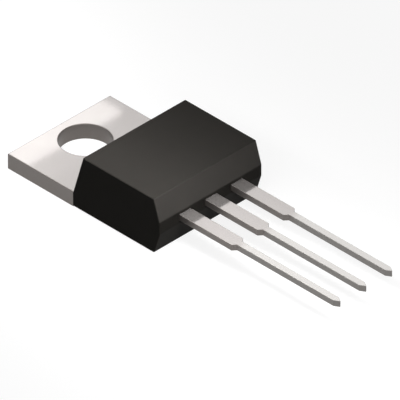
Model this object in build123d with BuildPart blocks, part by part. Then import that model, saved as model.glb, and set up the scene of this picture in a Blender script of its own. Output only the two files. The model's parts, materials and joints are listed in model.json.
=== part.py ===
"""Power transistor in a three-lead, tab-mounted moulded package.

The origin is the axis of the mounting hole on the mounting plane, which is the back of the tab.
+X runs along the leads towards their tips, +Y across the package and +Z up, away from the heatsink.
All sizes are in millimetres.
"""

import os

from build123d import *

# Package outline
package_width = 10.06
body_length = 8.54  # tab side of the moulding to the face that the leads leave
body_height = 4.63  # mounting plane to the top of the moulding
body_standoff = 0.04  # the moulding stays this far off the mounting plane
tab_side_run = 1.0  # how far the tab-side face leans back from the tab to the top
upper_draft_run = 0.57  # draft of the lead end above the parting band
lower_draft_run = 0.57  # draft of the lead end below the parting band
band_half_height = 0.47  # half of the upright parting band around the leads
body_edge_radius = 0.08

# Tab, with the mounting hole
tab_exposed_length = 6.48
tab_thickness = 1.27
hole_diameter = 3.85
hole_to_tab_end = 2.63

# Die pad, the part of the tab inside the moulding
pad_side_wall = 1.03  # moulding beside the exposed back of the pad
pad_front_wall = 2.25  # moulding between the pad's front and the lead end
lock_ledge = 0.3  # how far the pad's upper layer overhangs the moulding
lock_ledge_thickness = 0.6

# Leads, outside the moulding
lead_pitch = 2.54
lead_height = 2.115  # mounting plane to the underside of the leads
lead_thickness = 0.495
lead_wide_width = 1.144
lead_wide_length = 5.12
lead_narrow_width = 0.55
lead_length = 15.15
shoulder_run = 0.26
tip_run = 0.41
tip_width = 0.06
lead_corner_radius = 0.05

# Leads, inside the moulding
post_gap = 0.25  # pad front to the inner ends of the gate and source posts
post_cover = 1.1  # moulding between the posts and the lead-end face
post_side_wall = 0.9  # moulding beside the source post
post_half_width = 0.95
joggle_flat = 0.15  # level stretch between the pad's ledge and the first bend
joggle_run = 0.9
bend_inner_radius = 0.15

# Die and its solder
die_length = 3.4
die_width = 4.8
die_thickness = 0.25
solder_thickness = 0.05
solder_margin = 0.15

# Bond wires
gate_wire_diameter = 0.2
source_wire_diameter = 0.38
source_wire_spacing = 1.1
gate_bond_inset = 0.45  # die edges to the gate bond
source_bond_offset = 0.9  # die centre to the middle of the source bonds, across
loop_rise = 0.45  # top of the loop above the wire's end on the post
foot_length = 0.7
foot_spread = 1.3  # width of a bond foot over the wire's diameter
foot_squash = 0.6  # height of a bond foot over the wire's diameter
wire_lift = 0.02  # underside of the round wire above what it is bonded to
loop_bend_radius = 0.3

# Places that follow from the sizes
tab_end_x = -hole_to_tab_end
body_start_x = tab_end_x + tab_exposed_length
body_end_x = body_start_x + body_length
body_floor_end_x = body_end_x - lower_draft_run
pad_front_x = body_floor_end_x - pad_front_wall
pad_width = package_width - 2 * pad_side_wall
post_start_x = pad_front_x + post_gap
post_end_x = body_end_x - post_cover
post_middle_x = (post_start_x + post_end_x) / 2
shoulder_x = body_end_x + lead_wide_length
tip_x = body_end_x + lead_length
lead_top = lead_height + lead_thickness
lead_middle = lead_height + lead_thickness / 2
die_middle_x = (body_start_x + pad_front_x) / 2
die_base = tab_thickness + solder_thickness
die_top = die_base + die_thickness
source_post_outer_y = package_width / 2 - post_side_wall
source_post_inner_y = lead_pitch - post_half_width
source_post_middle_y = (source_post_outer_y + source_post_inner_y) / 2


def lead_outline(post_left: float, post_right: float, post_x: float) -> list[tuple[float, float]]:
    """Corners of a lead seen from above, about its own centre line, from the inner post to the tip."""
    wide, narrow, tip = lead_wide_width / 2, lead_narrow_width / 2, tip_width / 2
    outer = [
        (post_end_x, wide),
        (shoulder_x, wide),
        (shoulder_x + shoulder_run, narrow),
        (tip_x - tip_run, narrow),
        (tip_x, tip),
    ]
    left = [(post_x, post_left), (post_end_x, post_left), *outer]
    right = [(post_x, post_right), (post_end_x, post_right), *((x, -y) for x, y in outer)]
    return left + right[::-1]


def outside_corners(sketch: BuildSketch) -> ShapeList:
    """The corners of a lead's outline that lie outside the moulding: its shoulders and its tip."""
    return sketch.vertices().filter_by(lambda corner: corner.X > body_end_x)


def flat_lead(lane_y: float, post_left: float, post_right: float) -> Part:
    """A lead that stays level, stamped from strip, on the lane at lane_y."""
    with BuildPart() as lead:
        with BuildSketch(Plane((0, lane_y, lead_height))) as outline:
            with BuildLine():
                Polyline(lead_outline(post_left, post_right, post_start_x), close=True)
            make_face()
            fillet(outside_corners(outline), lead_corner_radius)
        extrude(amount=lead_thickness)
    return lead.part


def bond_wire(start: Vector, end: Vector, diameter: float) -> Part:
    """A looped wire with a flattened foot at each end. The points are the feet's middles, on the surfaces."""
    level = Vector(end.X - start.X, end.Y - start.Y)
    along = level.normalized()
    rise = end.Z - start.Z
    start_z = diameter / 2 + wire_lift
    end_z = start_z + rise
    loop_z = end_z + loop_rise
    half_foot = foot_length / 2
    # The wire climbs at 45 degrees to the height of its end, or steeper where a short span needs the room.
    climb_run = min(rise, level.length - foot_length - 2 * loop_rise)
    with BuildPart() as wire:
        with BuildLine(Plane(start, x_dir=along, z_dir=along.cross(Vector(0, 0, 1)))) as path:
            FilletPolyline(
                (0, start_z),
                (half_foot, start_z),
                (half_foot + climb_run, loop_z),
                (level.length - half_foot - loop_rise, loop_z),
                (level.length - half_foot, end_z),
                (level.length, end_z),
                radius=loop_bend_radius,
            )
        with BuildSketch(Plane(path.line @ 0, z_dir=path.line % 0)):
            Circle(diameter / 2)
        sweep()
        for foot in (start, end):
            with BuildSketch(Plane(foot, x_dir=along, z_dir=(0, 0, 1))):
                RectangleRounded(foot_length, foot_spread * diameter, diameter / 2)
            extrude(amount=foot_squash * diameter)
    return wire.part


# The drain's lead rises from the die pad to the plane of the other leads.
with BuildPart() as drain_lead:
    pad_strip_z = tab_thickness - lead_thickness / 2
    bend_x = pad_front_x + lock_ledge + joggle_flat
    with BuildLine(Plane.XZ) as joggle:
        FilletPolyline(
            (pad_front_x, pad_strip_z),
            (bend_x, pad_strip_z),
            (bend_x + joggle_run, lead_middle),
            (tip_x, lead_middle),
            radius=bend_inner_radius + lead_thickness / 2,
        )
    with BuildSketch(Plane(joggle.line @ 0, x_dir=(0, 1, 0), z_dir=(1, 0, 0))):
        Rectangle(2 * post_half_width, lead_thickness)
    sweep()
    with BuildSketch() as drain_outline:
        with BuildLine():
            Polyline(lead_outline(post_half_width, -post_half_width, pad_front_x), close=True)
        make_face()
        fillet(outside_corners(drain_outline), lead_corner_radius)
    extrude(amount=body_height, mode=Mode.INTERSECT)

# Tab, die pad and drain lead are one stamped piece of strip with a thick and a thin gauge.
with BuildPart() as drain_tab:
    with BuildSketch():
        with Locations(((tab_end_x + body_start_x) / 2, 0)):
            Rectangle(tab_exposed_length, package_width)
    extrude(amount=tab_thickness)
    with BuildSketch():
        with Locations((body_start_x, 0)):
            Rectangle(pad_front_x - body_start_x, pad_width, align=(Align.MIN, Align.CENTER))
    extrude(amount=tab_thickness)
    with BuildSketch(Plane.XY.offset(tab_thickness)):
        with Locations((body_start_x, 0)):
            Rectangle(
                pad_front_x + lock_ledge - body_start_x,
                pad_width + 2 * lock_ledge,
                align=(Align.MIN, Align.CENTER),
            )
    extrude(amount=-lock_ledge_thickness)
    add(drain_lead.part)
    Hole(hole_diameter / 2)
drain_tab.part.label = "drain_tab"

gate_lead = flat_lead(-lead_pitch, post_half_width, -post_half_width)
gate_lead.label = "gate_lead"

source_lead = flat_lead(lead_pitch, source_post_outer_y - lead_pitch, -post_half_width)
source_lead.label = "source_lead"

# The layer of solder that holds the die on its pad.
with BuildPart() as die_solder:
    with BuildSketch(Plane.XY.offset(tab_thickness)):
        with Locations((die_middle_x, 0)):
            Rectangle(die_length + 2 * solder_margin, die_width + 2 * solder_margin)
    extrude(amount=solder_thickness)
die_solder.part.label = "die_solder"

with BuildPart() as silicon_die:
    with BuildSketch(Plane.XY.offset(die_base)):
        with Locations((die_middle_x, 0)):
            Rectangle(die_length, die_width)
    extrude(amount=die_thickness)
silicon_die.part.label = "silicon_die"

gate_wire = bond_wire(
    Vector(
        die_middle_x + die_length / 2 - gate_bond_inset,
        -die_width / 2 + gate_bond_inset,
        die_top,
    ),
    Vector(post_middle_x, -lead_pitch, lead_top),
    gate_wire_diameter,
)
gate_wire.label = "gate_wire"

source_wires = []
for side, name in ((-1, "inner_source_wire"), (1, "outer_source_wire")):
    half_spacing = side * source_wire_spacing / 2
    source_wire = bond_wire(
        Vector(die_middle_x, source_bond_offset + half_spacing, die_top),
        Vector(post_middle_x, source_post_middle_y + half_spacing, lead_top),
        source_wire_diameter,
    )
    source_wire.label = name
    source_wires.append(source_wire)

inserts = [
    drain_tab.part,
    gate_lead,
    source_lead,
    die_solder.part,
    silicon_die.part,
    gate_wire,
    *source_wires,
]

# The moulding fills the space around everything that is set into it.
with BuildPart() as moulded_body:
    with BuildSketch(Plane.XZ):
        with BuildLine():
            Polyline(
                (body_start_x, body_standoff),
                (body_start_x, tab_thickness),
                (body_start_x + tab_side_run, body_height),
                (body_end_x - upper_draft_run, body_height),
                (body_end_x, lead_middle + band_half_height),
                (body_end_x, lead_middle - band_half_height),
                (body_floor_end_x, body_standoff),
                close=True,
            )
        make_face()
    extrude(amount=package_width / 2, both=True)
    # The edges that meet the tab stay sharp.
    fillet(
        moulded_body.edges().filter_by(lambda edge: edge.center().X > body_start_x + body_edge_radius),
        body_edge_radius,
    )
    add(inserts, mode=Mode.SUBTRACT)
moulded_body.part.label = "moulded_body"

os.makedirs("parts", exist_ok=True)
for piece in (moulded_body.part, *inserts):
    export_step(piece, f"parts/{piece.label}.step")
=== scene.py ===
"""Finishes, finer shells, studio and camera for a tab-mounted power transistor.

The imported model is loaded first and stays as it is. Lengths are in metres, in the model's own frame:
the origin is the mounting hole on the mounting face, +X runs towards the lead tips and +Z up.
"""

import json
import logging
import math
from collections.abc import Iterable
from dataclasses import dataclass
from enum import Enum

import bmesh
import bpy
import numpy as np
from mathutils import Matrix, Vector


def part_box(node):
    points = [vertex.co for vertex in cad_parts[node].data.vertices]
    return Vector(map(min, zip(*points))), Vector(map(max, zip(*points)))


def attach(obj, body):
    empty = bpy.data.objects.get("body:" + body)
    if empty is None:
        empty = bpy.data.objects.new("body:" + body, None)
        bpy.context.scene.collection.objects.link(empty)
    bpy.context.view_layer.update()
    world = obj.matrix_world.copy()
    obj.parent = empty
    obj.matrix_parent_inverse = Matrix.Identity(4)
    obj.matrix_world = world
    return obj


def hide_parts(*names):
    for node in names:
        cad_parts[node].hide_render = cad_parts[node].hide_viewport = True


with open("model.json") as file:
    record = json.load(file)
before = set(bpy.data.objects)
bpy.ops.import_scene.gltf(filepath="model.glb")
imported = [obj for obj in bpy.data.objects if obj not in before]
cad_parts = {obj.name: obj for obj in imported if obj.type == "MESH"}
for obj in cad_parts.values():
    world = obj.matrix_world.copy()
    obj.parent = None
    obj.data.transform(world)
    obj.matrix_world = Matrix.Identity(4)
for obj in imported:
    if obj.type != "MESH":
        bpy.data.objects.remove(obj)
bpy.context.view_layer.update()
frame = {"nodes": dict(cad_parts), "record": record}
log = logging.getLogger("power_transistor")

MM = 0.001
BODY = "root"
# Face attribute: sheared or rounded faces, which are duller and also painted darker as shade.
SHEARED_AND_SHADED = "sheared_and_shaded_face"
# Face attribute: how blast-matt a moulded face is, and how much painted light it takes.
BLASTED_AND_LIT = "blasted_and_lit"
SQUARE = 0.99999
WELD_REACH = 0.0005 * MM
WEAR_SAMPLES = 6
WEAR_TURN = (0.995, 0.85)
WEAR_BREAKS = (0.35, 0.65)
LARGE_FACE = 0.4 * MM**2
SHARP_ANGLE = math.radians(28)
ROUNDED_ANGLE = math.radians(25)
NEARLY_ZERO = 1e-9
# How far a moulded face is blast-matt and painted lighter, by the upward part of its normal: walls and lower
# faces are not. The lighter colour is painted light; the darker walls and lower faces are painted shade.
BLAST_AND_LIGHT_BY_TILT = ((0.05, 0.25, 0.5, 0.9), (0.0, 1.0, 1.0, 0.4))
LEFT_HALF = "left_half"
RIGHT_HALF = "right_half"

Colour = tuple[float, float, float]
Socket = bpy.types.NodeSocket
Node = bpy.types.Node
Inputs = dict[str | int, object]


class Slot(Enum):
    """Material slots of the record, by name."""

    MOULDING = "moulding"
    TINNED_COPPER = "tinned_copper"


class Electrode(Enum):
    """The three leads, by what they connect."""

    GATE = "gate"
    DRAIN = "drain"
    SOURCE = "source"

    @property
    def seat(self) -> Vector:
        """Middle of the lead's section at its shoulder, from the record's mount."""
        return Vector(mount(f"{self.value}_pin")["pos_m"])


def mount(name: str) -> dict:
    """Finds one of the record's mounts.

    Args:
        name: The mount's name.

    Returns:
        The mount's entry.
    """
    return next(entry for entry in frame["record"]["mounts"] if entry["name"] == name)


def tab_gauge() -> float:
    """Thickness of the tab, which the record gives as the length of its hole."""
    return mount("tab_hole")["dims"]["length_mm"] * MM


# ---------------------------------------------------------------------------------------------------
# Node trees
# ---------------------------------------------------------------------------------------------------


class Graph:
    """A node tree, with short ways to add nodes and join their sockets."""

    def __init__(self, tree: bpy.types.NodeTree) -> None:
        """Wraps a tree.

        Args:
            tree: The tree to add nodes to.
        """
        self.tree = tree

    def add(self, kind: str, inputs: Inputs | None = None, **settings: object) -> Node:
        """Adds a node.

        Args:
            kind: The node's type name.
            inputs: Socket name or number to a value, or to the output socket that feeds it.
            **settings: The node's own properties.

        Returns:
            The new node.
        """
        node = self.tree.nodes.new(kind)
        for name, value in settings.items():
            setattr(node, name, value)
        for key, value in (inputs or {}).items():
            self.feed(node.inputs[key], value)
        return node

    def feed(self, socket: Socket, value: object) -> None:
        """Sets a socket, or joins it.

        Args:
            socket: The input socket.
            value: A plain value, or an output socket.
        """
        if isinstance(value, Socket):
            self.tree.links.new(value, socket)
        else:
            socket.default_value = value

    def maths(self, operation: str, *values: object) -> Socket:
        """Adds a Math node.

        Args:
            operation: The node's operation.
            *values: Its inputs, in order.

        Returns:
            The result's socket.
        """
        return self.add("ShaderNodeMath", dict(enumerate(values)), operation=operation).outputs[0]

    def span(self, value: Socket, low: object, high: object) -> Socket:
        """Maps a value from 0..1 to a range.

        Args:
            value: The socket to map.
            low: The result at 0.
            high: The result at 1.

        Returns:
            The result's socket.
        """
        node = self.add("ShaderNodeMapRange", {"Value": value, "To Min": low, "To Max": high})
        return node.outputs["Result"]

    def ramp(self, value: Socket, start: float, stop: float, kind: str = "LINEAR") -> Socket:
        """Maps a range of a value to 0..1.

        Args:
            value: The socket to map.
            start: The value that gives 0.
            stop: The value that gives 1.
            kind: The way between them.

        Returns:
            The result's socket.
        """
        limits = {"Value": value, "From Min": start, "From Max": stop}
        return self.add("ShaderNodeMapRange", limits, interpolation_type=kind).outputs["Result"]

    def place(self) -> Socket:
        """Gives the object's own coordinates."""
        return self.add("ShaderNodeTexCoord").outputs["Object"]

    def emboss(self, shader: Node, height: Socket, depth: float) -> None:
        """Gives a shader a bumpy surface.

        Args:
            shader: The Principled node.
            height: The relief, 0 to 1.
            depth: The relief's real depth.
        """
        bump = self.add("ShaderNodeBump", {"Height": height, "Distance": depth, "Strength": 1.0})
        self.feed(shader.inputs["Normal"], bump.outputs["Normal"])

    def blend(self, factor: object, first: object, second: object) -> Socket:
        """Mixes two colours.

        Args:
            factor: The share of the second, 0 to 1.
            first: A colour or a socket.
            second: A colour or a socket.

        Returns:
            The mixed colour's socket.
        """
        node = self.add("ShaderNodeMix", data_type="RGBA")
        sockets = {socket.identifier: socket for socket in node.inputs}
        self.feed(sockets["Factor_Float"], factor)
        self.feed(sockets["A_Color"], first)
        self.feed(sockets["B_Color"], second)
        return next(socket for socket in node.outputs if socket.identifier == "Result_Color")


def shader_group(name: str, inputs: dict[str, float], output: str) -> tuple[Graph, Node, Node]:
    """Starts a shader node group of plain numbers.

    Args:
        name: The group's name.
        inputs: Input names and their defaults.
        output: The name of its one output.

    Returns:
        The group's graph, its input node and its output node.
    """
    tree = bpy.data.node_groups.new(name, "ShaderNodeTree")
    for label, default in inputs.items():
        socket = tree.interface.new_socket(label, in_out="INPUT", socket_type="NodeSocketFloat")
        socket.default_value = default
    tree.interface.new_socket(output, in_out="OUTPUT", socket_type="NodeSocketFloat")
    graph = Graph(tree)
    return graph, graph.add("NodeGroupInput"), graph.add("NodeGroupOutput")


class Effects:
    """Shader groups that several finishes share, each built once."""

    def __init__(self) -> None:
        """Builds the groups."""
        self.grain_tree = self.build_grain()
        self.wear_tree = self.build_wear()

    @staticmethod
    def build_grain() -> bpy.types.NodeTree:
        """Noise of one feature size, stretched along X for a rolled or drawn grain.

        Returns:
            The group's tree, with output Value from 0 to 1.
        """
        graph, given, result = shader_group("grain", {"Size": MM, "Stretch": 1.0, "Detail": 2.0}, "Value")
        length = graph.maths("MULTIPLY", given.outputs["Size"], given.outputs["Stretch"])
        size = given.outputs["Size"]
        cell = graph.add("ShaderNodeCombineXYZ", {"X": length, "Y": size, "Z": size}).outputs[0]
        scaled = graph.add("ShaderNodeVectorMath", {0: graph.place(), 1: cell}, operation="DIVIDE").outputs[0]
        inputs = {"Vector": scaled, "Scale": 1.0, "Detail": given.outputs["Detail"]}
        noise = graph.add("ShaderNodeTexNoise", inputs)
        graph.feed(result.inputs["Value"], noise.outputs["Fac"])
        return graph.tree

    @staticmethod
    def build_wear() -> bpy.types.NodeTree:
        """A broken line along the edges, where handling rubs them.

        Returns:
            The group's tree, with output Mask from 0 to 1.
        """
        defaults = {"Reach": 0.1 * MM, "Break Size": 0.2 * MM}
        graph, given, result = shader_group("edge_wear", defaults, "Mask")
        bevel = graph.add("ShaderNodeBevel", {"Radius": given.outputs["Reach"]}, samples=WEAR_SAMPLES)
        flat = graph.add("ShaderNodeNewGeometry").outputs["Normal"]
        normals = {0: bevel.outputs[0], 1: flat}
        turn = graph.add("ShaderNodeVectorMath", normals, operation="DOT_PRODUCT").outputs["Value"]
        inverse = graph.maths("DIVIDE", 1.0, given.outputs["Break Size"])
        inputs = {"Vector": graph.place(), "Scale": inverse, "Detail": 3.0}
        noise = graph.add("ShaderNodeTexNoise", inputs).outputs["Fac"]
        mask = graph.maths("MULTIPLY", graph.ramp(turn, *WEAR_TURN), graph.ramp(noise, *WEAR_BREAKS))
        graph.feed(result.inputs["Mask"], mask)
        return graph.tree

    def grain(self, graph: Graph, size: float, stretch: float = 1.0, detail: float = 2.0) -> Socket:
        """Places the grain group.

        Args:
            graph: The material's graph.
            size: The grain's feature size.
            stretch: How much longer it is along X.
            detail: Octaves of finer noise.

        Returns:
            The grain's value.
        """
        inputs = {"Size": size, "Stretch": stretch, "Detail": detail}
        node = graph.add("ShaderNodeGroup", node_tree=self.grain_tree)
        for name, value in inputs.items():
            node.inputs[name].default_value = value
        return node.outputs["Value"]

    def wear(self, graph: Graph, reach: float, break_size: float) -> Socket:
        """Places the edge wear group.

        Args:
            graph: The material's graph.
            reach: How far it reaches from the edge.
            break_size: The size of its gaps.

        Returns:
            The wear's mask.
        """
        node = graph.add("ShaderNodeGroup", node_tree=self.wear_tree)
        node.inputs["Reach"].default_value = reach
        node.inputs["Break Size"].default_value = break_size
        return node.outputs["Mask"]


# ---------------------------------------------------------------------------------------------------
# Finishes
# ---------------------------------------------------------------------------------------------------


def rgba(colour: Colour) -> tuple[float, float, float, float]:
    """Adds full alpha to a colour."""
    return (*colour, 1.0)


def new_surface(name: str, **values: float) -> tuple[bpy.types.Material, Graph, Node]:
    """Starts a material.

    Args:
        name: The material's name.
        **values: Principled inputs, with an underscore for each space.

    Returns:
        The material, its graph and its Principled node.
    """
    material = bpy.data.materials.new(name)
    material.use_nodes = True
    shader = material.node_tree.nodes["Principled BSDF"]
    for label, value in values.items():
        shader.inputs[label.replace("_", " ")].default_value = value
    return material, Graph(material.node_tree), shader


@dataclass(frozen=True)
class TinPlate:
    """Satin tin over copper: rolled faces with a long grain, duller and rougher sheared faces that are also
    painted darker as shade, and lead ends painted lighter as painted light.
    """

    rolled_dark: Colour = (0.545, 0.513, 0.497)
    # Painted shade in part: the sheared colours are far darker than the rolled ones, for walls and roundings.
    rolled_light: Colour = (0.605, 0.573, 0.557)
    sheared_shaded_dark: Colour = (0.135, 0.121, 0.112)
    sheared_shaded_light: Colour = (0.185, 0.168, 0.157)
    # Painted light: the lead ends past their shoulders are painted lighter than the rest of the tin.
    painted_lit_end: Colour = (0.705, 0.683, 0.662)
    painted_lit_end_wall: Colour = (0.185, 0.175, 0.166)
    lit_end_start: float = 0.15 * MM
    lit_end_fade: float = 0.9 * MM
    metal_share: float = 0.75
    rolled_roughness: tuple[float, float] = (0.065, 0.115)
    cut_roughness: tuple[float, float] = (0.30, 0.45)
    patch_size: float = 1.6 * MM
    roll_line_size: float = 0.035 * MM
    roll_line_stretch: float = 30.0
    tear_size: float = 0.05 * MM
    grain_height: float = 0.0006 * MM

    def make(self, effects: Effects) -> bpy.types.Material:
        """Builds the material.

        Args:
            effects: The shared shader groups.

        Returns:
            The material.
        """
        material, graph, shader = new_surface("tin_plate", Metallic=self.metal_share)
        sheared_and_shaded = graph.add("ShaderNodeAttribute", attribute_name=SHEARED_AND_SHADED).outputs["Fac"]
        patches = effects.grain(graph, self.patch_size, detail=3.0)
        lines = effects.grain(graph, self.roll_line_size, self.roll_line_stretch)
        tears = effects.grain(graph, self.tear_size, detail=4.0)
        rolled = graph.blend(patches, rgba(self.rolled_dark), rgba(self.rolled_light))
        torn_and_shaded = graph.blend(tears, rgba(self.sheared_shaded_dark), rgba(self.sheared_shaded_light))
        # Walls and roundings take the sheared colour: a duller finish, and painted shade as well.
        plated = graph.blend(sheared_and_shaded, rolled, torn_and_shaded)
        # Painted light: lead ends past their shoulders take the lighter colours.
        painted_lit_end = graph.blend(sheared_and_shaded, rgba(self.painted_lit_end), rgba(self.painted_lit_end_wall))
        graph.feed(shader.inputs["Base Color"], graph.blend(self.painted_lit_end_mask(graph), plated, painted_lit_end))
        smooth = graph.span(lines, *self.rolled_roughness)
        rough = graph.span(tears, *self.cut_roughness)
        graph.feed(shader.inputs["Roughness"], graph.span(sheared_and_shaded, smooth, rough))
        height = graph.span(sheared_and_shaded, lines, tears)
        graph.emboss(shader, height, self.grain_height)
        return material

    def painted_lit_end_mask(self, graph: Graph) -> Socket:
        """Tells the lead ends that are painted lighter as painted light, from just past their shoulders.

        Args:
            graph: The graph to add to.

        Returns:
            0 before the painted light starts, 1 past it.
        """
        along = graph.add("ShaderNodeSeparateXYZ", {"Vector": graph.place()}).outputs["X"]
        start = Electrode.GATE.seat.x + self.lit_end_start
        return graph.ramp(along, start, start + self.lit_end_fade, "SMOOTHSTEP")


@dataclass(frozen=True)
class MouldedEpoxy:
    """Black filled epoxy: matt where the mould was blast-finished and smoother where it was drawn, with
    upward faces painted lighter as painted light and walls and lower faces painted darker as painted shade.
    """

    # Painted light: the lighter blacks, for upward faces. Painted shade: the darker blacks, for walls and
    # lower faces.
    blasted_lit_dark: Colour = (0.046, 0.0428, 0.0394)
    blasted_lit_light: Colour = (0.056, 0.0521, 0.0482)
    drawn_shaded_dark: Colour = (0.0165, 0.0152, 0.0134)
    drawn_shaded_light: Colour = (0.0215, 0.0199, 0.0177)
    rubbed: Colour = (0.075, 0.071, 0.066)
    blasted_roughness: tuple[float, float] = (0.50, 0.62)
    drawn_roughness: tuple[float, float] = (0.36, 0.46)
    specular: float = 0.010
    drawn_pit_share: float = 0.35
    patch_size: float = 1.1 * MM
    pit_size: float = 0.045 * MM
    pit_depth: float = 0.0035 * MM
    wear_reach: float = 0.06 * MM
    wear_break: float = 0.25 * MM
    wear_amount: float = 0.5

    def make(self, effects: Effects) -> bpy.types.Material:
        """Builds the material.

        Args:
            effects: The shared shader groups.

        Returns:
            The material.
        """
        material, graph, shader = new_surface("moulded_epoxy", Specular_IOR_Level=self.specular)
        pits = effects.grain(graph, self.pit_size, detail=3.0)
        patches = effects.grain(graph, self.patch_size, detail=3.0)
        rubbing = effects.wear(graph, self.wear_reach, self.wear_break)
        wear = graph.maths("MULTIPLY", rubbing, self.wear_amount)
        mix = graph.maths("MULTIPLY", graph.maths("ADD", pits, patches), 0.5)
        blasted_and_lit = graph.add("ShaderNodeAttribute", attribute_name=BLASTED_AND_LIT).outputs["Fac"]
        drawn_shaded_black = graph.blend(mix, rgba(self.drawn_shaded_dark), rgba(self.drawn_shaded_light))
        blasted_lit_black = graph.blend(mix, rgba(self.blasted_lit_dark), rgba(self.blasted_lit_light))
        # Painted light and shade: upward faces get the lighter black, walls and lower faces the darker one.
        black = graph.blend(blasted_and_lit, drawn_shaded_black, blasted_lit_black)
        graph.feed(shader.inputs["Base Color"], graph.blend(wear, black, rgba(self.rubbed)))
        smooth = graph.span(patches, *self.drawn_roughness)
        matt = graph.span(patches, *self.blasted_roughness)
        graph.feed(shader.inputs["Roughness"], graph.span(blasted_and_lit, smooth, matt))
        depth = graph.maths("MULTIPLY", pits, graph.span(blasted_and_lit, self.drawn_pit_share, 1.0))
        graph.emboss(shader, depth, self.pit_depth)
        return material


@dataclass(frozen=True)
class Silicon:
    """Die: dark glossy silicon with a field of tiny transistor cells."""

    dark: Colour = (0.10, 0.11, 0.13)
    light: Colour = (0.24, 0.25, 0.28)
    cell_size: float = 0.03 * MM
    cell_height: float = 0.001 * MM
    haze_size: float = 0.4 * MM
    roughness: tuple[float, float] = (0.12, 0.25)
    metal_share: float = 0.5

    def make(self, effects: Effects) -> bpy.types.Material:
        """Builds the material.

        Args:
            effects: The shared shader groups.

        Returns:
            The material.
        """
        material, graph, shader = new_surface("silicon", Metallic=self.metal_share)
        inputs = {"Vector": graph.place(), "Scale": 1 / self.cell_size, "Randomness": 0.0}
        middle = graph.add("ShaderNodeTexVoronoi", inputs).outputs["Distance"]
        haze = effects.grain(graph, self.haze_size)
        graph.feed(shader.inputs["Base Color"], graph.blend(middle, rgba(self.light), rgba(self.dark)))
        graph.feed(shader.inputs["Roughness"], graph.span(haze, *self.roughness))
        graph.emboss(shader, middle, self.cell_height)
        return material


@dataclass(frozen=True)
class DullMetal:
    """A plain metal with a grain: the die's solder, and the drawn aluminium of the bond wires."""

    name: str
    dark: Colour
    light: Colour
    roughness: tuple[float, float]
    grain_size: float
    grain_stretch: float = 1.0
    grain_height: float = 0.002 * MM
    metal_share: float = 0.9

    def make(self, effects: Effects) -> bpy.types.Material:
        """Builds the material.

        Args:
            effects: The shared shader groups.

        Returns:
            The material.
        """
        material, graph, shader = new_surface(self.name, Metallic=self.metal_share)
        grain = effects.grain(graph, self.grain_size, self.grain_stretch, detail=3.0)
        graph.feed(shader.inputs["Base Color"], graph.blend(grain, rgba(self.dark), rgba(self.light)))
        graph.feed(shader.inputs["Roughness"], graph.span(grain, *self.roughness))
        graph.emboss(shader, grain, self.grain_height)
        return material


DIE_SOLDER = DullMetal("die_solder", (0.36, 0.36, 0.38), (0.55, 0.55, 0.57), (0.35, 0.6), 0.12 * MM)
BOND_WIRE = DullMetal("bond_wire", (0.78, 0.79, 0.80), (0.90, 0.91, 0.92), (0.22, 0.4), 0.012 * MM, 20.0)


# ---------------------------------------------------------------------------------------------------
# Meshes
# ---------------------------------------------------------------------------------------------------


def new_object(name: str, mesh: bpy.types.Mesh) -> bpy.types.Object:
    """Puts a mesh in the scene.

    Args:
        name: The object's name.
        mesh: Its mesh, in the model's frame.

    Returns:
        The object, at the origin.
    """
    piece = bpy.data.objects.new(name, mesh)
    bpy.context.scene.collection.objects.link(piece)
    return piece


def baked_mesh(piece: bpy.types.Object) -> bpy.types.Mesh:
    """Evaluates a piece's modifiers into a plain mesh.

    Args:
        piece: The object whose modifiers are used.

    Returns:
        A new mesh.
    """
    graph = bpy.context.evaluated_depsgraph_get()
    return bpy.data.meshes.new_from_object(piece.evaluated_get(graph), depsgraph=graph)


def settle(piece: bpy.types.Object) -> None:
    """Replaces a piece's modifiers with their result.

    Args:
        piece: The object to settle.
    """
    mesh = baked_mesh(piece)
    piece.modifiers.clear()
    piece.data = mesh


def round_edges(piece: bpy.types.Object, radius: float, segments: int) -> None:
    """Rounds a piece's sharp edges.

    Args:
        piece: The object to round.
        radius: The rounding's width.
        segments: Its number of faces.
    """
    bevel = piece.modifiers.new("rounding", "BEVEL")
    bevel.width = radius
    bevel.segments = segments
    bevel.limit_method = "ANGLE"
    bevel.angle_limit = ROUNDED_ANGLE
    settle(piece)


def flatten_shading(piece: bpy.types.Object) -> None:
    """Shades a piece smooth across its roundings and bores, and flat on its flat faces.

    Args:
        piece: The object to shade.
    """
    # The angle test clears the flat marks, so it comes first.
    piece.data.set_sharp_from_angle(angle=SHARP_ANGLE)
    for polygon in piece.data.polygons:
        squared_up = max(abs(part) for part in polygon.normal) > SQUARE
        polygon.use_smooth = not squared_up and polygon.area < LARGE_FACE


def mark_sheared_and_shaded_faces(mesh: bpy.types.Mesh) -> None:
    """Stores which faces the press sheared or rounded, and which kept the rolled skin; the sheared and
    rounded faces are duller, and also painted darker as shade.

    Args:
        mesh: A stamped piece's mesh. Its rolled faces point up and down.
    """
    marks = mesh.attributes.new(SHEARED_AND_SHADED, "FLOAT", "FACE")
    # Every face that doesn't point straight up or down gets the darker colour: painted shade on top of the
    # duller sheared finish.
    values = [float(abs(polygon.normal.z) < SQUARE) for polygon in mesh.polygons]
    marks.data.foreach_set("value", values)


def ring_mesh(name: str, rings: list[list[Vector]]) -> bpy.types.Mesh:
    """Joins closed rings of points into a closed tube that returns to its first ring.

    Args:
        name: The mesh's name.
        rings: The rings, with as many points each.

    Returns:
        The mesh, with its faces outward.
    """
    shape = bmesh.new()
    loops = [[shape.verts.new(point) for point in ring] for ring in rings]
    for here, there in zip(loops, loops[1:] + loops[:1]):
        for index in range(len(here)):
            after = (index + 1) % len(here)
            shape.faces.new((here[index], here[after], there[after], there[index]))
    bmesh.ops.recalc_face_normals(shape, faces=shape.faces)
    mesh = bpy.data.meshes.new(name)
    shape.to_mesh(mesh)
    shape.free()
    return mesh


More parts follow.
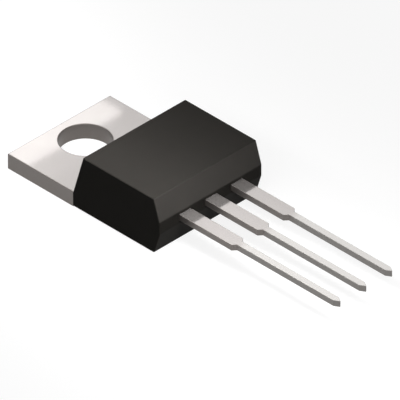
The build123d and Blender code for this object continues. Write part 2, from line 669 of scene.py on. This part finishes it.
def block_mesh(name: str, low: Vector, high: Vector) -> bpy.types.Mesh:
    """Makes a closed block between two corners.

    Args:
        name: The mesh's name.
        low: Its lowest corner.
        high: Its highest corner.

    Returns:
        The mesh.
    """
    shape = bmesh.new()
    bmesh.ops.create_cube(shape, size=1.0)
    for vert in shape.verts:
        vert.co = Vector(high[axis] if vert.co[axis] > 0 else low[axis] for axis in range(3))
    mesh = bpy.data.meshes.new(name)
    shape.to_mesh(mesh)
    shape.free()
    return mesh


def weld(mesh: bpy.types.Mesh) -> None:
    """Merges points that coincide and drops the slivers between them.

    Args:
        mesh: The mesh to clean.
    """
    shape = bmesh.new()
    shape.from_mesh(mesh)
    bmesh.ops.remove_doubles(shape, verts=shape.verts, dist=WELD_REACH)
    bmesh.ops.dissolve_degenerate(shape, edges=shape.edges, dist=WELD_REACH)
    shape.to_mesh(mesh)
    shape.free()


def unite(piece: bpy.types.Object, others: Iterable[bpy.types.Object]) -> None:
    """Joins closed shells that touch or overlap into one.

    Args:
        piece: The object that becomes the union.
        others: The objects that it takes in, which are removed.
    """
    for other in others:
        join = piece.modifiers.new("union", "BOOLEAN")
        join.operation = "UNION"
        join.solver = "EXACT"
        join.object = other
        settle(piece)
        bpy.data.objects.remove(other)
    weld(piece.data)


class StripTree:
    """Geometry Nodes tree that presses a flat strip out of a guide line with a width at each point."""

    def __init__(self) -> None:
        """Builds the tree."""
        self.tree = bpy.data.node_groups.new("stamped_strip", "GeometryNodeTree")
        self.identifiers: dict[str, str] = {}
        face = self.tree.interface
        face.new_socket("Guide", in_out="INPUT", socket_type="NodeSocketGeometry")
        for label, kind in (
            ("Thickness", "NodeSocketFloat"),
            ("Bend Radius", "NodeSocketFloat"),
            ("Bend Steps", "NodeSocketInt"),
            ("Material", "NodeSocketMaterial"),
        ):
            self.identifiers[label] = face.new_socket(label, in_out="INPUT", socket_type=kind).identifier
        face.new_socket("Strip", in_out="OUTPUT", socket_type="NodeSocketGeometry")
        self.build()

    def build(self) -> None:
        """Adds the nodes: guide to curve, bends, section, widths and material."""
        graph = Graph(self.tree)
        given = graph.add("NodeGroupInput")
        line = graph.add("GeometryNodeMeshToCurve", {"Mesh": given.outputs["Guide"]}).outputs["Curve"]
        upright = graph.add("GeometryNodeSetCurveNormal", {"Curve": line}, mode="Z_UP").outputs["Curve"]
        bent = graph.add(
            "GeometryNodeFilletCurve",
            {
                "Curve": upright,
                "Radius": given.outputs["Bend Radius"],
                "Count": given.outputs["Bend Steps"],
                "Limit Radius": True,
            },
            mode="POLY",
        ).outputs["Curve"]
        place = graph.add("GeometryNodeInputPosition").outputs[0]
        lane = graph.add("GeometryNodeCaptureAttribute", {"Geometry": bent}, domain="POINT")
        lane.capture_items.new("VECTOR", "Centre")
        graph.feed(lane.inputs["Centre"], place)
        section = graph.add(
            "GeometryNodeCurvePrimitiveQuadrilateral", {"Width": MM, "Height": given.outputs["Thickness"]}
        ).outputs["Curve"]
        swept = graph.add(
            "GeometryNodeCurveToMesh",
            {"Curve": lane.outputs["Geometry"], "Profile Curve": section, "Fill Caps": True},
        ).outputs["Mesh"]
        merging = {"Geometry": swept, "Distance": 2 * WELD_REACH}
        clean = graph.add("GeometryNodeMergeByDistance", merging).outputs[0]
        here = graph.add("ShaderNodeSeparateXYZ", {0: place}).outputs
        centre = graph.add("ShaderNodeSeparateXYZ", {0: lane.outputs["Centre"]}).outputs
        side = graph.maths("GREATER_THAN", here["Y"], centre["Y"])
        left = self.named(graph, LEFT_HALF)
        right = graph.maths("MULTIPLY", self.named(graph, RIGHT_HALF), -1.0)
        across = graph.maths("ADD", centre["Y"], graph.span(side, right, left))
        target = graph.add("ShaderNodeCombineXYZ", {"X": here["X"], "Y": across, "Z": here["Z"]}).outputs[0]
        shaped = graph.add("GeometryNodeSetPosition", {"Geometry": clean, "Position": target}).outputs[0]
        real = graph.add("GeometryNodeRealizeInstances", {"Geometry": shaped}).outputs[0]
        dressing = {"Geometry": real, "Material": given.outputs["Material"]}
        dressed = graph.add("GeometryNodeSetMaterial", dressing)
        graph.add("NodeGroupOutput", {"Strip": dressed.outputs[0]})

    @staticmethod
    def named(graph: Graph, name: str) -> Socket:
        """Reads a number stored on the guide's points.

        Args:
            graph: The tree's graph.
            name: The attribute's name.

        Returns:
            Its socket.
        """
        node = graph.add("GeometryNodeInputNamedAttribute", {"Name": name}, data_type="FLOAT")
        return node.outputs["Attribute"]

    def press(self, piece: bpy.types.Object, inputs: dict[str, object]) -> None:
        """Turns a guide into a strip.

        Args:
            piece: The object whose mesh is the guide.
            inputs: The tree's inputs by name.
        """
        modifier = piece.modifiers.new("stamped_strip", "NODES")
        modifier.node_group = self.tree
        for label, value in inputs.items():
            modifier[self.identifiers[label]] = value
        settle(piece)


# ---------------------------------------------------------------------------------------------------
# Sub-assemblies
# ---------------------------------------------------------------------------------------------------


def dress(piece: bpy.types.Object, material: bpy.types.Material) -> None:
    """Gives a whole piece one material.

    Args:
        piece: The object.
        material: Its material.
    """
    piece.data.materials.clear()
    piece.data.materials.append(material)


def install(piece: bpy.types.Object, node: str) -> bpy.types.Object:
    """Puts a finished piece in the place of a node of the model.

    Args:
        piece: The finished object.
        node: The node that it stands for.

    Returns:
        The piece.
    """
    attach(piece, BODY)
    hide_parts(node)
    return piece


def mark_blasted_and_lit_faces(mesh: bpy.types.Mesh) -> None:
    """Stores how matt each face of the moulding is and how much painted light it gets: its slopes fully, its
    top less, its walls not, which leaves them in painted shade.

    Args:
        mesh: The moulding's mesh.
    """
    marks = mesh.attributes.new(BLASTED_AND_LIT, "FLOAT", "FACE")
    # The share by tilt is painted light on upward faces as well as their matt finish.
    values = [float(np.interp(polygon.normal.z, *BLAST_AND_LIGHT_BY_TILT)) for polygon in mesh.polygons]
    marks.data.foreach_set("value", values)


@dataclass
class Moulding:
    """The epoxy body: sloped towards the tab, bevelled at the lead end, with an upright band at the leads."""

    tab_side_run: float = 1.0 * MM
    draft_run: float = 0.57 * MM
    band_half_height: float = 0.47 * MM
    edge_radius: float = 0.08 * MM
    edge_segments: int = 4
    node: str = "moulded_body"

    def profile(self) -> list[tuple[float, float]]:
        """Works out the body's outline seen from the side.

        Returns:
            X and Z of its corners.
        """
        low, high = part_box(self.node)
        lead_middle = Electrode.GATE.seat.z
        return [
            (low.x, low.z),
            (low.x, tab_gauge()),
            (low.x + self.tab_side_run, high.z),
            (high.x - self.draft_run, high.z),
            (high.x, lead_middle + self.band_half_height),
            (high.x, lead_middle - self.band_half_height),
            (high.x - self.draft_run, low.z),
        ]

    def build(self, material: bpy.types.Material) -> bpy.types.Object:
        """Makes the body.

        Args:
            material: Its material.

        Returns:
            The piece.
        """
        low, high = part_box(self.node)
        shape = bmesh.new()
        near, far = (
            [shape.verts.new((x, y, z)) for x, z in self.profile()] for y in (low.y, high.y)
        )
        shape.faces.new(near)
        shape.faces.new(far)
        for index in range(len(near)):
            after = (index + 1) % len(near)
            shape.faces.new((near[index], near[after], far[after], far[index]))
        bmesh.ops.recalc_face_normals(shape, faces=shape.faces)
        clear_of_tab = low.x + self.edge_radius
        edges = [edge for edge in shape.edges if sum(vert.co.x for vert in edge.verts) / 2 > clear_of_tab]
        bmesh.ops.bevel(
            shape,
            geom=edges,
            offset=self.edge_radius,
            segments=self.edge_segments,
            profile=0.5,
            affect="EDGES",
            clamp_overlap=True,
        )
        mesh = bpy.data.meshes.new("epoxy_body")
        shape.to_mesh(mesh)
        shape.free()
        piece = new_object("epoxy_body", mesh)
        flatten_shading(piece)
        mark_blasted_and_lit_faces(piece.data)
        dress(piece, material)
        return install(piece, self.node)


@dataclass
class LeadStrip:
    """One lead, from its root inside the moulding to its tip."""

    electrode: Electrode
    node: str
    root_left: float
    root_right: float
    wide: float = 1.144 * MM
    narrow: float = 0.55 * MM
    tip: float = 0.06 * MM
    neck_run: float = 0.1 * MM
    neck_cover: float = 1.1 * MM
    shoulder_run: float = 0.26 * MM
    tip_run: float = 0.41 * MM
    edge_radius: float = 0.026 * MM
    edge_segments: int = 3
    bend_radius: float = 0.4 * MM
    bend_steps: int = 6

    @property
    def thickness(self) -> float:
        """The strip's thin gauge, as the level leads have it."""
        low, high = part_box("gate_lead")
        return high.z - low.z

    def outer_points(self) -> list[tuple[float, float, float, float]]:
        """Lists the guide from the neck inside the moulding to the tip.

        Returns:
            X, Z, left half width and right half width of each point.
        """
        seat = self.electrode.seat
        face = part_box("moulded_body")[1].x
        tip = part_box(self.node)[1].x
        neck = face - self.neck_cover
        widths = (
            (neck, self.root_left, self.root_right),
            (neck + self.neck_run, self.wide / 2, self.wide / 2),
            (seat.x, self.wide / 2, self.wide / 2),
            (seat.x + self.shoulder_run, self.narrow / 2, self.narrow / 2),
            (tip - self.tip_run, self.narrow / 2, self.narrow / 2),
            (tip, self.tip / 2, self.tip / 2),
        )
        return [(x, seat.z, left, right) for x, left, right in widths]

    def inner_points(self) -> list[tuple[float, float, float, float]]:
        """Lists the guide of the bonding post.

        Returns:
            X, Z, left half width and right half width of each point.
        """
        return [(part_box(self.node)[0].x, self.electrode.seat.z, self.root_left, self.root_right)]

    def press(self, name: str, tree: StripTree, material: bpy.types.Material) -> bpy.types.Object:
        """Makes the strip's mesh.

        Args:
            name: The object's name.
            tree: The tree that presses strips.
            material: The strip's material.

        Returns:
            The strip, with rounded edges.
        """
        points = self.inner_points() + self.outer_points()
        guide = bpy.data.meshes.new(name)
        lane = self.electrode.seat.y
        edges = [(index, index + 1) for index in range(len(points) - 1)]
        guide.from_pydata([(x, lane, z) for x, z, _, _ in points], edges, [])
        for column, label in ((2, LEFT_HALF), (3, RIGHT_HALF)):
            halves = guide.attributes.new(label, "FLOAT", "POINT")
            halves.data.foreach_set("value", [point[column] for point in points])
        piece = new_object(name, guide)
        tree.press(
            piece,
            {
                "Thickness": self.thickness,
                "Bend Radius": self.bend_radius,
                "Bend Steps": self.bend_steps,
                "Material": material,
            },
        )
        round_edges(piece, self.edge_radius, self.edge_segments)
        return piece

    def build(self, tree: StripTree, material: bpy.types.Material) -> bpy.types.Object:
        """Makes the lead as a piece of its own.

        Args:
            tree: The tree that presses strips.
            material: The lead's material.

        Returns:
            The piece.
        """
        piece = self.press(f"{self.electrode.value}_strip", tree, material)
        return finish_stamping(piece, self.node, material)


@dataclass
class DrainStrip(LeadStrip):
    """The middle lead, whose root climbs from the die pad to the plane of the other leads."""

    bend_start: float = 0.45 * MM
    joggle_run: float = 0.9 * MM

    def inner_points(self) -> list[tuple[float, float, float, float]]:
        """Lists the guide of the root and its climb.

        Returns:
            X, Z, left half width and right half width of each point.
        """
        front = Tab.pad_front()
        root_z = tab_gauge() - self.thickness / 2
        climb = front + self.bend_start
        seat_z = self.electrode.seat.z
        heights = ((front, root_z), (climb, root_z), (climb + self.joggle_run, seat_z))
        return [(x, z, self.root_left, self.root_right) for x, z in heights]


@dataclass
class Tab:
    """The heavy tab with its punched hole, the die pad inside the moulding, and the drain's lead."""

    die_roll: float = 0.06 * MM
    roll_segments: int = 4
    edge_break: float = 0.02 * MM
    spokes: int = 120
    pad_side_wall: float = 1.03 * MM
    ledge: float = 0.3 * MM
    ledge_thickness: float = 0.6 * MM
    lap: float = 0.5 * MM
    node: str = "drain_tab"

    @staticmethod
    def pad_front() -> float:
        """Where the pad's exposed back ends, towards the leads."""
        lower_draft, front_wall = 0.57 * MM, 2.25 * MM
        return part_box("moulded_body")[1].x - lower_draft - front_wall

    @property
    def thickness(self) -> float:
        """The strip's heavy gauge."""
        return tab_gauge()

    def outline_points(self) -> list[tuple[float, Vector]]:
        """Spreads points round the plate's outline, one for each spoke from the hole and one for each corner.

        Returns:
            The angle and the place of each point, in order of angle.
        """
        low, high = self.plate_corners()
        corners = [Vector((x, y)) for x in (low.x, high.x) for y in (low.y, high.y)]
        angles = [2 * math.pi * index / self.spokes for index in range(self.spokes)]
        angles += [math.atan2(corner.y, corner.x) % (2 * math.pi) for corner in corners]
        points = []
        for angle in sorted(set(angles)):
            ray = Vector((math.cos(angle), math.sin(angle)))
            reach_x = (high.x if ray.x > 0 else low.x) / ray.x if abs(ray.x) > NEARLY_ZERO else math.inf
            reach_y = (high.y if ray.y > 0 else low.y) / ray.y if abs(ray.y) > NEARLY_ZERO else math.inf
            points.append((angle, ray * min(reach_x, reach_y)))
        return points

    def plate_corners(self) -> tuple[Vector, Vector]:
        """Finds the plate's corners: from the free end to the moulding."""
        low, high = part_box(self.node)
        return Vector((low.x, low.y)), Vector((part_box("moulded_body")[0].x, high.y))

    def plate(self) -> bpy.types.Object:
        """Makes the plate: rings from the hole's foot, up its wall, out over the top and down the outside.

        Returns:
            The plate.
        """
        low, high = self.plate_corners()
        radius = mount("tab_hole")["dims"]["r_mm"] * MM
        top, roll, small = self.thickness, self.die_roll, self.edge_break
        steps = [math.pi / 2 * step / self.roll_segments for step in range(self.roll_segments + 1)]
        rolled = [(roll * (1 - math.cos(turn)), top - roll * (1 - math.sin(turn))) for turn in steps]
        section = [(small, 0.0), (0.0, small), *rolled]
        outline = self.outline_points()

        def hole_ring(grow: float, height: float) -> list[Vector]:
            """A ring of the hole, grown by an amount, at a height."""
            reach = radius + grow
            circle = [(reach * math.cos(angle), reach * math.sin(angle)) for angle, _ in outline]
            return [Vector((x, y, height)) for x, y in circle]

        def outer_ring(inset: float, height: float) -> list[Vector]:
            """A ring of the outline at a height, drawn in by an amount on its three free sides."""
            right, left = low.y + inset, high.y - inset
            drawn_in = [(max(point.x, low.x + inset), min(max(point.y, right), left)) for _, point in outline]
            return [Vector((x, y, height)) for x, y in drawn_in]

        rings = [hole_ring(*step) for step in section] + [outer_ring(*step) for step in reversed(section)]
        return new_object("tab_plate", ring_mesh("tab_plate", rings))

    def pad(self) -> list[bpy.types.Object]:
        """Makes the die pad and the wider layer over it that locks into the moulding.

        Returns:
            The two blocks.
        """
        low, high = self.plate_corners()
        half = high.y - self.pad_side_wall
        front = self.pad_front()
        root = high.x - self.lap
        pad = block_mesh("pad", Vector((root, -half, 0.0)), Vector((front, half, self.thickness)))
        lock = block_mesh(
            "pad_lock",
            Vector((root, -half - self.ledge, self.thickness - self.ledge_thickness)),
            Vector((front + self.ledge, half + self.ledge, self.thickness)),
        )
        return [new_object("pad", pad), new_object("pad_lock", lock)]

    def build(self, drain: DrainStrip, tree: StripTree, material: bpy.types.Material) -> bpy.types.Object:
        """Makes tab, pad and drain lead as one piece.

        Args:
            drain: The lead that the pad carries.
            tree: The tree that presses strips.
            material: The piece's material.

        Returns:
            The piece.
        """
        piece = self.plate()
        unite(piece, [*self.pad(), drain.press("drain_strip", tree, material)])
        piece.name = "tab_and_drain"
        return finish_stamping(piece, self.node, material)


def finish_stamping(piece: bpy.types.Object, node: str, material: bpy.types.Material) -> bpy.types.Object:
    """Shades, marks and installs a stamped piece.

    Args:
        piece: The stamped object.
        node: The node that it stands for.
        material: Its material.

    Returns:
        The piece.
    """
    flatten_shading(piece)
    mark_sheared_and_shaded_faces(piece.data)
    dress(piece, material)
    return install(piece, node)


@dataclass
class Chip:
    """What the moulding hides: the die, its solder and the bond wires, which stay as modelled."""

    wires: tuple[str, ...] = ("gate_wire", "inner_source_wire", "outer_source_wire")

    def build(self, effects: Effects) -> None:
        """Dresses the hidden nodes.

        Args:
            effects: The shared shader groups.
        """
        dress(frame["nodes"]["silicon_die"], Silicon().make(effects))
        dress(frame["nodes"]["die_solder"], DIE_SOLDER.make(effects))
        wire_material = BOND_WIRE.make(effects)
        for wire in self.wires:
            dress(frame["nodes"][wire], wire_material)


# ---------------------------------------------------------------------------------------------------
# Studio
# ---------------------------------------------------------------------------------------------------


@dataclass(frozen=True)
class Softbox:
    """A flat studio lamp that faces the part."""

    name: str
    place: tuple[float, float, float]
    size: tuple[float, float]
    power: float
    target: tuple[float, float, float] = (0.006, 0.0, 0.002)

    def build(self) -> bpy.types.Object:
        """Makes the lamp.

        Returns:
            The lamp's object.
        """
        light = bpy.data.lights.new(self.name, "AREA")
        light.shape = "RECTANGLE"
        light.size, light.size_y = self.size
        light.energy = self.power
        lamp = bpy.data.objects.new(self.name, light)
        lamp.location = self.place
        lamp.rotation_euler = (Vector(self.target) - Vector(self.place)).to_track_quat("-Z", "Y").to_euler()
        lamp.visible_camera = False
        bpy.context.scene.collection.objects.link(lamp)
        return lamp


@dataclass
class Studio:
    """Pale floor, white surroundings, softboxes and the camera."""

    floor_half: float = 3.0
    floor_drop: float = 0.01 * MM
    floor_albedo: float = 0.24
    near_glow: float = 0.85
    far_glow: float = 0.985
    glow_reach: tuple[float, float] = (0.018, 0.075)
    ambient: float = 0.10
    azimuth: float = 45.0
    elevation: float = 35.264
    distance: float = 1.2738
    lens: float = 1650.0
    target: tuple[float, float, float] = (11.860 * MM, -0.534 * MM, 2.3 * MM)

    softboxes: tuple[Softbox, ...] = (
        Softbox("key_strip", (0.012, -0.005, 0.0126), (0.080, 0.003), 0.0069, (0.012, -0.0049, 0.0)),
        Softbox("tab_panel", (-0.0214, 0.0071, 0.010), (0.024, 0.012), 0.0007, (-0.0214, 0.0072, 0.0)),
        Softbox("lead_strip", (0.0175, -0.0045, 0.0115), (0.006, 0.004), 0.0003, (0.0175, -0.0044, 0.0)),
        Softbox("front_strip", (0.125, 0.0, 0.125), (0.160, 0.016), 0.07),
    )

    @staticmethod
    def seen_directly(graph: Graph) -> Socket:
        """Tells rays that show the background, straight, mirrored or through glass, from those that light.

        Args:
            graph: The graph to add to.

        Returns:
            1 for camera, glossy and transmission rays, else 0.
        """
        path = graph.add("ShaderNodeLightPath").outputs
        seen = graph.maths("MAXIMUM", path["Is Camera Ray"], path["Is Glossy Ray"])
        return graph.maths("MAXIMUM", seen, path["Is Transmission Ray"])

    def build_world(self) -> None:
        """Makes the surroundings white to look at, and a plain soft light to be lit by."""
        world = bpy.data.worlds.new("studio")
        world.use_nodes = True
        bpy.context.scene.world = world
        graph = Graph(world.node_tree)
        background = world.node_tree.nodes["Background"]
        background.inputs["Color"].default_value = (1.0, 1.0, 1.0, 1.0)
        graph.feed(background.inputs["Strength"], graph.span(self.seen_directly(graph), self.ambient, 1.0))

    def build_floor(self) -> None:
        """Lays a matt pale floor that looks white, more so away from the part, and takes its shadow."""
        half, level = self.floor_half, -self.floor_drop
        mesh = bpy.data.meshes.new("floor")
        corners = [(-half, -half, level), (half, -half, level), (half, half, level), (-half, half, level)]
        mesh.from_pydata(corners, [], [(0, 1, 2, 3)])
        floor = new_object("floor", mesh)
        material, graph, shader = new_surface("floor", Roughness=1.0, Specular_IOR_Level=0.0)
        shader.inputs["Base Color"].default_value = rgba((self.floor_albedo,) * 3)
        shader.inputs["Emission Color"].default_value = (1.0, 1.0, 1.0, 1.0)
        away = graph.add("ShaderNodeVectorMath", {0: graph.place()}, operation="LENGTH").outputs["Value"]
        outside = graph.ramp(away, *self.glow_reach, "SMOOTHSTEP")
        glow = graph.span(outside, self.near_glow, self.far_glow)
        strength = graph.maths("MULTIPLY", self.seen_directly(graph), glow)
        graph.feed(shader.inputs["Emission Strength"], strength)
        dress(floor, material)

    def build_camera(self) -> None:
        """Sets a long lens at the part's three-quarter view from above."""
        turn, tilt = math.radians(self.azimuth), math.radians(self.elevation)
        back = Vector((math.sin(turn) * math.cos(tilt), -math.cos(turn) * math.cos(tilt), math.sin(tilt)))
        data = bpy.data.cameras.new("camera")
        data.lens = self.lens
        data.clip_start = 0.01
        data.clip_end = 10.0
        camera = bpy.data.objects.new("camera", data)
        camera.location = Vector(self.target) + back * self.distance
        camera.rotation_euler = (-back).to_track_quat("-Z", "Y").to_euler()
        bpy.context.scene.collection.objects.link(camera)
        bpy.context.scene.camera = camera

    def build(self) -> None:
        """Builds the whole studio."""
        bpy.context.scene.view_settings.view_transform = "Standard"
        self.build_camera()
        self.build_world()
        self.build_floor()
        for softbox in self.softboxes:
            softbox.build()


def report(piece: bpy.types.Object) -> None:
    """Logs a finished piece.

    Args:
        piece: The piece.
    """
    log.info("%s: %d faces", piece.name, len(piece.data.polygons))


def main() -> None:
    """Builds the studio and every piece."""
    logging.basicConfig(level=logging.INFO, format="%(name)s %(message)s")
    Studio().build()
    effects = Effects()
    tin = TinPlate().make(effects)
    strips = StripTree()
    report(Moulding().build(MouldedEpoxy().make(effects)))
    gate = LeadStrip(Electrode.GATE, "gate_lead", root_left=0.95 * MM, root_right=0.95 * MM)
    source = LeadStrip(Electrode.SOURCE, "source_lead", root_left=1.59 * MM, root_right=0.95 * MM)
    drain = DrainStrip(Electrode.DRAIN, "drain_tab", root_left=0.95 * MM, root_right=0.95 * MM)
    report(gate.build(strips, tin))
    report(source.build(strips, tin))
    report(Tab().build(drain, strips, tin))
    Chip().build(effects)


if __name__ == "__main__":
    main()
